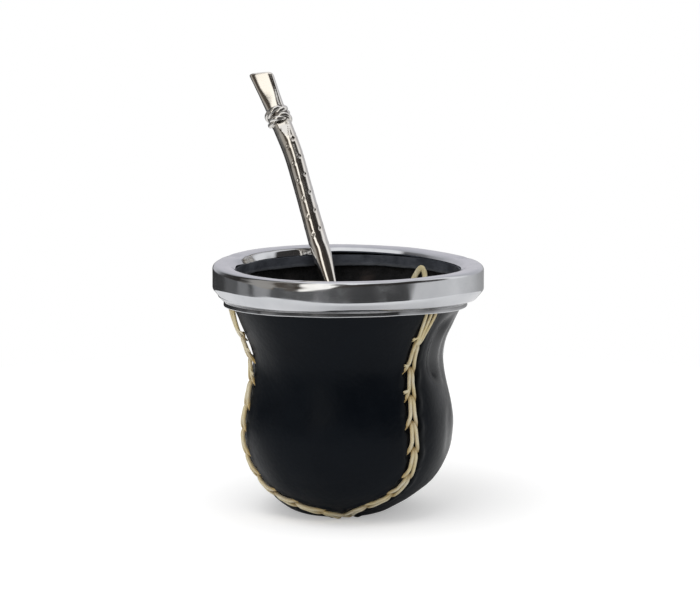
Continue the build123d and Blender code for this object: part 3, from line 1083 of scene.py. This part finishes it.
def buildStem():
    taperLow = (corners["taperBase"] - corners["filterTop"]).length
    taperHigh = (corners["taperTop"] - corners["filterTop"]).length
    flatStart = stemLength - ringLength - straw["flatLength"]
    rings, sides = int(stemLength / straw["stepLength"]) + 1, straw["sides"]
    points, hollowShade = [], []
    for ring in range(rings):
        distance = stemLength * ring / (rings - 1)
        centre, run = stemPlace(distance)
        across, facing = strawFrame(run)
        radius = lerp(straw["lowerRadius"], straw["upperRadius"], ease((distance - taperLow) / (taperHigh - taperLow)))
        above = distance - taperHigh
        chased = ease((above - 1.0) / 4)
        halfFlat = math.radians(straw["flatSpread"]) * ease((distance - flatStart) / straw["flatLength"])
        for side in range(sides):
            turn = 360 * side / sides
            angle = math.radians(turn)
            # the tube is slightly flattened, on a long twist
            twist = math.radians(turn - straw["twistStart"] - straw["twistRate"] * above)
            swell = straw["flattening"] * math.cos(2 * twist) * chased
            darkening = 0.0
            if chased > 0:
                row = (turn / 360 - above / straw["dotRise"]) * straw["dotRows"] % 1.0
                fromRow = (row - 0.5) / straw["dotRows"] * straw["dotRise"]
                fromDot = (turn / 360 / straw["dotGap"] % 1.0 - 0.5) * straw["dotGap"] * 2 * math.pi * radius
                away = math.hypot(fromRow * 0.75, fromDot)
                pit = bell(away, straw["dotRadius"]) * chased
                swell += straw["dotLip"] * bell(away - straw["dotLipRadius"], straw["dotLipWidth"]) * chased
                swell -= straw["dotDepth"] * pit
                # painted shade in each pit
                darkening = straw["dotShade"] * pit
            fromFlat = math.cos(math.radians(turn - straw["flatTurn"]))
            if fromFlat > math.cos(halfFlat):
                swell = lerp(swell, radius * (math.cos(halfFlat) / fromFlat - 1), ease(halfFlat * 4))
            points.append(centre + (across * math.cos(angle) + facing * math.sin(angle)) * (radius + swell))
            hollowShade.append(darkening)
    makePiece("straw.stem", points, tubeFaces(rings, sides), [strawFinish], "straw_stem", 60,
              {"hollowShade": hollowShade})


ring = {
    "collarRadius": 3.45,
    "collarSwell": 0.45,
    "collarInset": 0.3,
    "collarShade": 0.85,
    "wires": [(0.71, 1), (0.27, -1)],  # place along the ring, way that it is laid
    "wireLoops": 2.5,
    "wireRadius": 3.3,
    "wireSwing": 0.5,
    "wireRise": 0.66,
    "wireWidth": 1.0,
    "wireHeight": 0.85,
    "wireSides": 20,
    "wireSteps": 320,
}


def buildRing():
    across, facing = strawFrame(upperRun)
    tubes = Tubes()

    def ringPoint(radius, turn, rise):
        out = across * math.cos(turn) + facing * math.sin(turn)
        return corners["ringBase"] + upperRun * rise + out * radius, out

    # a plain collar underneath
    sides, rows = 48, 9
    for row in range(rows):
        share = row / (rows - 1)
        radius = ring["collarRadius"] + ring["collarSwell"] * math.sin(math.pi * share)
        rise = lerp(ring["collarInset"], ringLength - ring["collarInset"], share)
        tubes.points += [ringPoint(radius, 2 * math.pi * side / sides, rise)[0] for side in range(sides)]
    # the collar under the wires gets painted shade
    tubes.marks = [ring["collarShade"]] * len(tubes.points)
    tubes.faces = tubeFaces(rows, sides)
    # two ropes laid opposite ways, each of one wire that goes round twice
    for place, way in ring["wires"]:
        path, ups = [], []
        for step in range(ring["wireSteps"]):
            turn = 4 * math.pi * step / ring["wireSteps"]
            swing = way * ring["wireLoops"] * turn
            point, out = ringPoint(ring["wireRadius"] + ring["wireSwing"] * math.cos(swing), turn,
                                   ringLength * place + ring["wireRise"] * math.sin(swing))
            path.append(point)
            ups.append(out)
        tubes.add(path, ring["wireSides"], ring["wireWidth"], ring["wireHeight"], ups, closed=True)
    makePiece("straw.ring", tubes.points, tubes.faces, [strawFinish], "straw_ring",
              marks={"hollowShade": tubes.marks, "satin": [1.0] * len(tubes.points)})


mouth = {
    "turn": 0.5,
    "sides": 64,
    "baseWidth": 3.3,  # half widths and half heights
    "baseHeight": 2.5,
    "endWidth": 4.0,
    "endHeight": 2.1,
    "baseSquareness": 3.0,
    "endSquareness": 4.2,
    "endRounding": 0.8,
    "endShift": 0.4,
    "endSlant": 0.36,  # the end is cut level, not square
    "slotWidth": (2.9, 1.7),  # of the slot, from the end down
    "slotHeight": (1.05, 1.7),
    "slotSquareness": (3.8, 2.0),
    "slotShade": (0.3, 1.0),
}


def buildMouthpiece():
    turned = Quaternion(upperRun, math.radians(mouth["turn"]))
    across, facing = (turned @ way for way in strawFrame(upperRun))
    length = (corners["tipEnd"] - corners["ringTop"]).length
    slant = math.copysign(mouth["endSlant"], across.x)
    points, hollowShade = [], []

    def section(rise, halfWidth, halfHeight, squareness, darkening=0.0):
        along = ease(rise / length)
        centre = corners["ringTop"] + upperRun * rise - Vector((0, mouth["endShift"], 0)) * along
        for side in range(mouth["sides"]):
            turn = 2 * math.pi * side / mouth["sides"]
            c, s = math.cos(turn), math.sin(turn)
            x = math.copysign(abs(c) ** (2 / squareness), c) * halfWidth
            y = math.copysign(abs(s) ** (2 / squareness), s) * halfHeight
            points.append(centre + across * x + facing * y - upperRun * (x * slant * along))
            hollowShade.append(darkening)

    width, height = mouth["endWidth"], mouth["endHeight"]
    square, rounding = mouth["endSquareness"], mouth["endRounding"]
    for i in range(34):
        share = i / 33
        flat = ease((share - 0.02) / 0.6)
        section(share * (length - rounding), lerp(mouth["baseWidth"], width, share ** 1.3),
                lerp(mouth["baseHeight"], height, flat), lerp(mouth["baseSquareness"], square, flat))
    for angle in (20, 40, 60, 80):  # the rounded end
        swing = math.radians(angle)
        shrink = 0.75 * (1 - math.cos(swing))
        section(length - rounding * (1 - math.sin(swing)), width - shrink * 1.25, height - shrink * 0.75, square)
    section(length - 0.05, 3.05, 1.2, mouth["slotSquareness"][0])
    for i in range(14):
        share = i / 13
        # the inside of the slot gets deeper painted shade going in
        section(length - 0.5 - share * (length - 1.5), lerp(*mouth["slotWidth"], share),
                lerp(*mouth["slotHeight"], share), lerp(*mouth["slotSquareness"], share),
                lerp(*mouth["slotShade"], min(1, share * 4)))
    faces = tubeFaces(len(points) // mouth["sides"], mouth["sides"])
    makePiece("straw.mouthpiece", points, faces, [strawFinish], "straw_mouthpiece", 55, {"hollowShade": hollowShade})


buildStem()
buildRing()
buildMouthpiece()
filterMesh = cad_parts["straw_filter"].data
filterMesh.materials.clear()
filterMesh.materials.append(strawFinish)
print("straw built")


# floor
studio = {
    "floorRadius": 300.0,
    "floorColour": (0.78, 0.78, 0.78, 1),
    "floorGlow": 0.34,
    "ambient": 0.78,
    "lampPower": 5.2,
    "lampSize": 0.9,
    "lampPlace": (-0.25, -0.35, 1.15),
}
rings, sides = 6, 96
floorPoints = [(0, 0, 0)]
for row in range(1, rings + 1):
    radius = studio["floorRadius"] * mm * row / rings
    turns = [2 * math.pi * side / sides for side in range(sides)]
    floorPoints += [(radius * math.cos(turn), radius * math.sin(turn), 0) for turn in turns]
floorFaces = [(0, 1 + side, 1 + (side + 1) % sides) for side in range(sides)]
floorMesh = bpy.data.meshes.new("floor")
floorMesh.from_pydata(floorPoints, [], floorFaces + gridFaces(rings, sides, 1, closed=True, flip=True))
floorPiece = bpy.data.objects.new("floor", floorMesh)
bpy.context.scene.collection.objects.link(floorPiece)
floorFinish, tree, shader, _ = newFinish("paleFloor")
tree.nodes.remove(shader)
white = (1, 1, 1, 1)


def mixShaders(tree, factor, first, second):
    return put(tree, "MixShader", None, Fac=factor, i1=first, i2=second).outputs[0]


rays = put(tree, "LightPath").outputs
unlit = put(tree, "Emission", None, Color=(0, 0, 0, 1), Strength=0.0).outputs[0]
glow = put(tree, "Emission", None, Color=white, Strength=studio["floorGlow"]).outputs[0]
matt = put(tree, "BsdfDiffuse", None, Color=studio["floorColour"]).outputs[0]
both = put(tree, "AddShader", None, i0=matt, i1=mixShaders(tree, rays["Is Camera Ray"], unlit, glow)).outputs[0]
feed(tree, tree.nodes["Material Output"], {"Surface": both})
floorMesh.materials.append(floorFinish)

# the room that the metal sees, by direction round the cup from the viewer's side: degrees to the right, brightness
room = {
    "low": [(-180, 0.04), (-132, 0.05), (-120, 0.12), (-108, 0.11), (-105, 0.24), (-96, 0.24), (-92, 0.10), (-88, 0.10),
            (-86, 0.32), (-72, 0.34), (-68, 0.12), (-50, 0.08), (-36, 0.10), (-24, 0.15), (-14, 0.10), (0, 0.065),
            (30, 0.05), (50, 0.06), (56, 0.6), (80, 0.62), (104, 0.70), (127, 0.56), (152, 0.36), (180, 0.34)],
    "high": [(-180, (0.62, 0.61, 0.65, 1)), (-150, (0.5, 0.5, 0.52, 1)), (-128, (0.04, 0.038, 0.036, 1)),
             (-104, (0.03, 0.027, 0.025, 1)), (-91, (0.38, 0.365, 0.34, 1)), (-72, (0.36, 0.34, 0.31, 1)),
             (-65, (0.10, 0.085, 0.07, 1)), (-50, (0.06, 0.05, 0.042, 1)), (-43, (0.06, 0.05, 0.042, 1)),
             (-40, (1.25, 1.21, 1.12, 1)), (-21, (1.25, 1.22, 1.15, 1)), (-16, (0.06, 0.052, 0.046, 1)),
             (40, (0.03, 0.027, 0.025, 1)), (84, (0.045, 0.042, 0.04, 1)), (95, (0.86, 0.86, 0.86, 1)),
             (112, (0.9, 0.9, 0.9, 1)), (127, (0.5, 0.5, 0.52, 1)), (150, (0.55, 0.55, 0.58, 1)),
             (180, (0.62, 0.61, 0.65, 1))],
    "highStart": -0.06,  # rise of the direction at which the upper walls begin
    "highFull": 0.06,
    "ceiling": 0.95,
    "ceilingStart": 0.875,
    "ceilingFull": 0.91,
    "unevenness": 0.06,
}


def ramp(tree, factor, stops):
    node = put(tree, "ValToRGB", None, Fac=factor)
    elements = node.color_ramp.elements
    for turn, _ in stops[2:]:
        elements.new((turn + 180) / 360)
    for element, (turn, level) in zip(elements, stops):
        element.position = (turn + 180) / 360
        element.color = level if isinstance(level, tuple) else (level, level, level, 1)
    return node.outputs["Color"]


world = bpy.data.worlds.new("studio")
bpy.context.scene.world = world
world.use_nodes = True
tree = world.node_tree
tree.nodes.clear()
direction = put(tree, "TexCoord").outputs["Generated"]
uneven = put(tree, "TexNoise", None, Vector=direction, Scale=5.0, Detail=3.0).outputs["Color"]
centred = put(tree, "VectorMath", {"operation": "SUBTRACT"}, i0=uneven, i1=(0.5, 0.5, 0.5)).outputs[0]
small = put(tree, "VectorMath", {"operation": "SCALE"}, i0=centred, Scale=room["unevenness"]).outputs[0]
bent = put(tree, "VectorMath", {"operation": "ADD"}, i0=direction, i1=small).outputs[0]
turned = put(tree, "Mapping", None, Vector=bent, Rotation=(0, 0, math.pi / 2)).outputs[0]
compass = put(tree, "TexGradient", {"gradient_type": "RADIAL"}, Vector=turned).outputs["Fac"]
rise = put(tree, "SeparateXYZ", None, Vector=bent).outputs["Z"]
high = spread(tree, rise, room["highStart"], room["highFull"], kind="SMOOTHSTEP")
ceiling = spread(tree, rise, room["ceilingStart"], room["ceilingFull"], kind="SMOOTHSTEP")
walls = mixColour(tree, high, ramp(tree, compass, room["low"]), ramp(tree, compass, room["high"]))
seenRoom = mixColour(tree, ceiling, walls, (room["ceiling"],) * 3 + (1,))
rays = put(tree, "LightPath").outputs
plain = put(tree, "Background", None, Color=white, Strength=studio["ambient"]).outputs[0]
reflected = put(tree, "Background", None, Color=seenRoom, Strength=1.0).outputs[0]
backdrop = put(tree, "Background", None, Color=white, Strength=1.0).outputs[0]
direct = calc(tree, "MAXIMUM", rays["Is Camera Ray"], rays["Is Transmission Ray"])
metalSees = mixShaders(tree, rays["Is Glossy Ray"], plain, reflected)
put(tree, "OutputWorld", None, Surface=mixShaders(tree, direct, metalSees, backdrop))

lampData = bpy.data.lights.new("softbox", "AREA")
lampData.shape = "DISK"
lampData.size = studio["lampSize"]
lampData.energy = studio["lampPower"]
lamp = bpy.data.objects.new("softbox", lampData)
lamp.visible_glossy = False
lamp.location = studio["lampPlace"]
lamp.rotation_euler = (-Vector(studio["lampPlace"])).to_track_quat("-Z", "Y").to_euler()
bpy.context.scene.collection.objects.link(lamp)

view = {
    "distance": 0.850,
    "elevation": 8.0,
    "focus": (0.0006, 0.0, 0.0704),
    "lens": 132.0,
    "sensor": 36.0,
}
cameraData = bpy.data.cameras.new("camera")
cameraData.lens = view["lens"]
cameraData.sensor_width = view["sensor"]
camera = bpy.data.objects.new("camera", cameraData)
elevation = math.radians(view["elevation"])
back = Vector((0, -math.cos(elevation), math.sin(elevation))) * view["distance"]
camera.location = Vector((0, 0, crownHeight * mm)) + back
camera.rotation_euler = (Vector(view["focus"]) - camera.location).to_track_quat("-Z", "Y").to_euler()
bpy.context.scene.collection.objects.link(camera)
bpy.context.scene.camera = camera
bpy.context.scene.view_settings.view_transform = "Standard"
print("studio and camera set")
